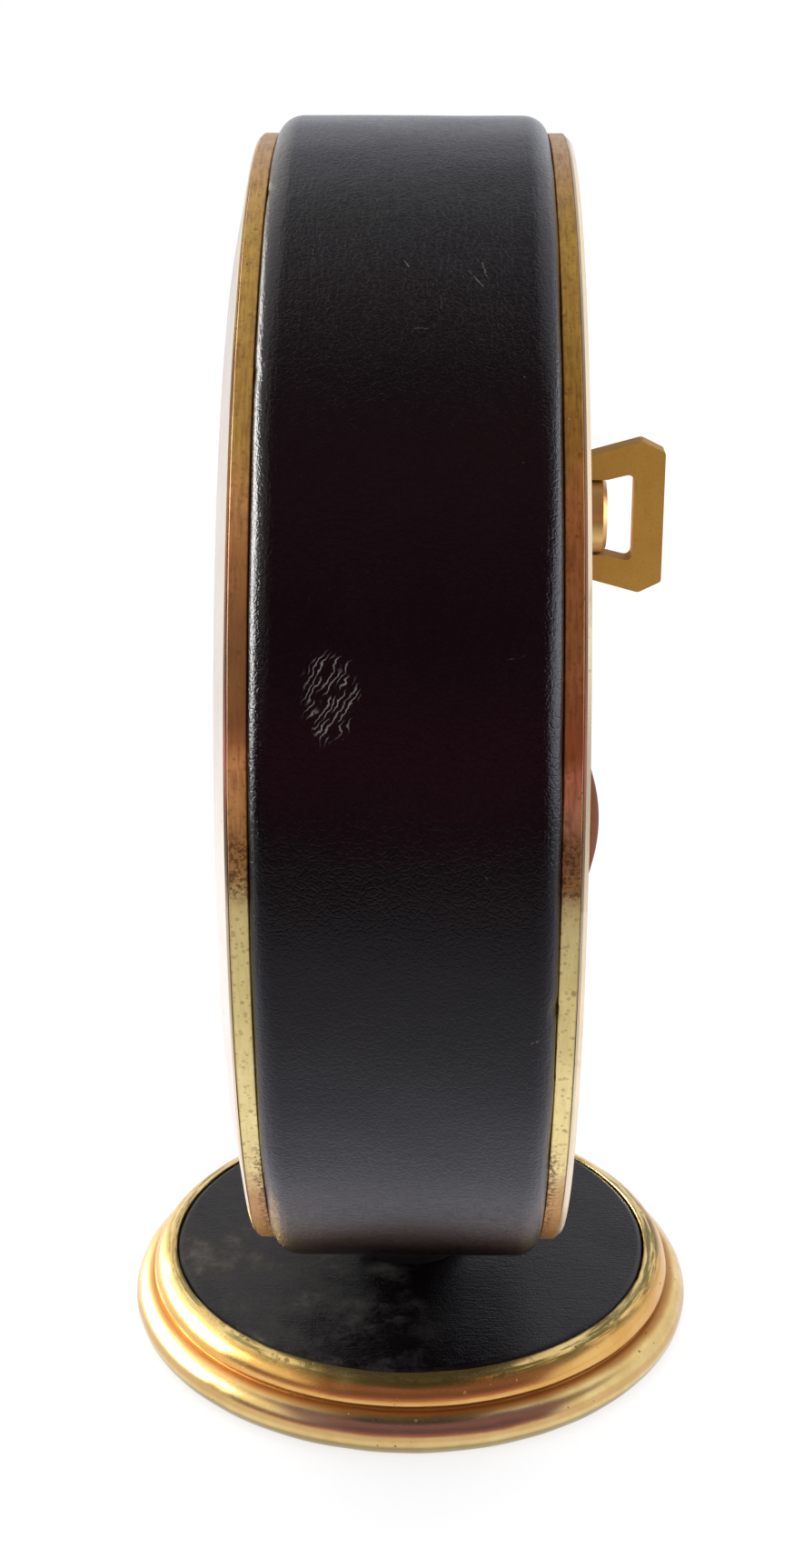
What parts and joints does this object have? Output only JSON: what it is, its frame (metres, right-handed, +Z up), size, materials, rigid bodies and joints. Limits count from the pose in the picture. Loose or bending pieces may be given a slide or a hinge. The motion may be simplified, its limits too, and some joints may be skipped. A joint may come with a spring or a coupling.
{
  "type": "table clock",
  "caption": "Round leather-covered drum clock with brass rims, a folding winding key and a setting knob behind, on a short neck above a round leather-topped brass foot.",
  "frame": {"origin": "on the table, at the middle of the foot and below the drum's centre", "axes": "+Z up; -Y is where the dial faces and +Y where the winding key stands out; +X is to the right of someone who reads the dial"},
  "size_m": [0.11, 0.0594, 0.125],
  "materials": {
    "leather": "near-black dyed leather, satin",
    "brass": "aged, pitted brass",
    "gilt_brass": "pale gilt brass",
    "movement_brass": "gilt, fine-grained",
    "key_brass": "matte mustard brass",
    "steel": "fine-ground steel",
    "blued_steel": "blued spring steel",
    "crystal": "clear mineral glass",
    "dial_paint": "cream, matte",
    "neck_paint": "black, satin",
    "iron": "unpainted casting",
    "felt": "dense wool felt",
    "ruby": "polished synthetic ruby"
  },
  "bodies": {
    "case": {"drum_shell": "brass", "leather_band": "leather", "front_ring": "brass", "front_bezel": "gilt_brass", "crystal": "crystal", "crystal_ring": "gilt_brass", "dial": "dial_paint", "dial_feet": "brass", "foot_nuts": "steel", "hour_markers": "gilt_brass", "rear_ring": "brass", "back_cover": "brass", "back_cover_screws": "steel", "click_spring": "steel", "front_plate": "movement_brass", "back_plate": "movement_brass", "plate_pillars": "movement_brass", "pillar_screws": "steel", "hairspring": "blued_steel", "balance_cock": "movement_brass", "cock_screws": "steel", "neck_collar": "neck_paint", "mounting_stud": "steel", "stud_nuts": "steel", "saddle_washer": "steel", "foot_core": "iron", "foot_edge": "brass", "foot_top": "leather", "felt_pad": "felt"},
    "hour": {"hour_hand": "gilt_brass", "hour_wheel": "movement_brass"},
    "minute": {"minute_hand": "gilt_brass", "hand_nut": "gilt_brass", "cannon_pinion": "steel"},
    "minute_work": {"minute_wheel": "movement_brass"},
    "setting": {"setting_arbor": "steel", "setting_knob": "brass"},
    "winding": {"winding_arbor": "steel", "ratchet_wheel": "steel", "key_boss": "key_brass", "key_pivot_pins": "steel"},
    "bow": {"key_bow": "key_brass"},
    "ratchet_click": {"click": "steel"},
    "spring_barrel": {"barrel": "movement_brass", "barrel_cover": "movement_brass", "mainspring": "blued_steel"},
    "intermediate": {"intermediate_wheel": "movement_brass", "intermediate_arbor": "steel"},
    "center": {"center_wheel": "movement_brass", "center_arbor": "steel"},
    "third": {"third_wheel": "movement_brass", "third_arbor": "steel"},
    "fourth": {"fourth_wheel": "movement_brass", "fourth_arbor": "steel"},
    "escape": {"escape_wheel": "steel", "escape_arbor": "steel"},
    "lever": {"pallet_fork": "steel", "pallet_stones": "ruby"},
    "balance": {"balance_wheel": "movement_brass", "balance_staff": "steel"}
  },
  "joints": [
    {"name": "key_turn", "type": "hinge", "parent": "case", "child": "winding", "pos_m": [0, 0, 0.088], "axis": [0, 1, 0], "continuous": true},
    {"name": "key_fold", "type": "hinge", "parent": "winding", "child": "bow", "pos_m": [0, 0.0164, 0.088], "axis": [0, 0, 1], "range_deg": [-88, 88]},
    {"name": "minute_hand_turn", "type": "hinge", "parent": "case", "child": "minute", "pos_m": [0, 0, 0.07], "axis": [0, 1, 0], "continuous": true},
    {"name": "minute_wheel_turn", "type": "hinge", "parent": "case", "child": "minute_work", "pos_m": [0.00237, 0, 0.0632], "axis": [0, 1, 0], "continuous": true},
    {"name": "hour_hand_turn", "type": "hinge", "parent": "case", "child": "hour", "pos_m": [0, 0, 0.07], "axis": [0, 1, 0], "continuous": true},
    {"name": "setting_knob_turn", "type": "hinge", "parent": "case", "child": "setting", "pos_m": [0, 0, 0.0564], "axis": [0, 1, 0], "continuous": true},
    {"name": "click_lift", "type": "hinge", "parent": "case", "child": "ratchet_click", "pos_m": [0.0124, 0, 0.0864], "axis": [0, 1, 0], "range_deg": [0, 10], "stiffness_Nm_per_rad": 0.0001, "springref_deg": -11.46},
    {"name": "fourth_wheel_turn", "type": "hinge", "parent": "case", "child": "fourth", "pos_m": [-0.01389, 0, 0.05545], "axis": [0, 1, 0], "continuous": true},
    {"name": "third_wheel_turn", "type": "hinge", "parent": "case", "child": "third", "pos_m": [-0.00922, 0, 0.06355], "axis": [0, 1, 0], "continuous": true},
    {"name": "center_wheel_turn", "type": "hinge", "parent": "case", "child": "center", "pos_m": [0, 0, 0.07], "axis": [0, 1, 0], "continuous": true},
    {"name": "intermediate_wheel_turn", "type": "hinge", "parent": "case", "child": "intermediate", "pos_m": [-0.01101, 0, 0.07612], "axis": [0, 1, 0], "continuous": true},
    {"name": "barrel_turn", "type": "hinge", "parent": "case", "child": "spring_barrel", "pos_m": [0, 0, 0.088], "axis": [0, 1, 0], "continuous": true},
    {"name": "escape_wheel_turn", "type": "hinge", "parent": "case", "child": "escape", "pos_m": [-0.00753, 0, 0.04909], "axis": [0, 1, 0], "continuous": true},
    {"name": "lever_swing", "type": "hinge", "parent": "case", "child": "lever", "pos_m": [-0.00073, 0, 0.04909], "axis": [0, 1, 0], "range_deg": [-5, 5]},
    {"name": "balance_swing", "type": "hinge", "parent": "case", "child": "balance", "pos_m": [0.00827, 0, 0.04909], "axis": [0, 1, 0], "range_deg": [-220, 220], "stiffness_Nm_per_rad": 0.000011}
  ],
  "couplings": [
    {"joint": "minute_wheel_turn", "follows": "minute_hand_turn", "ratio": -0.33333},
    {"joint": "hour_hand_turn", "follows": "minute_hand_turn", "ratio": 0.083333},
    {"joint": "setting_knob_turn", "follows": "minute_hand_turn", "ratio": 1},
    {"joint": "third_wheel_turn", "follows": "fourth_wheel_turn", "ratio": -0.13333},
    {"joint": "center_wheel_turn", "follows": "fourth_wheel_turn", "ratio": 0.016667},
    {"joint": "intermediate_wheel_turn", "follows": "fourth_wheel_turn", "ratio": -0.0027778},
    {"joint": "barrel_turn", "follows": "fourth_wheel_turn", "ratio": 0.00034722},
    {"joint": "escape_wheel_turn", "follows": "fourth_wheel_turn", "ratio": -8}
  ]
}
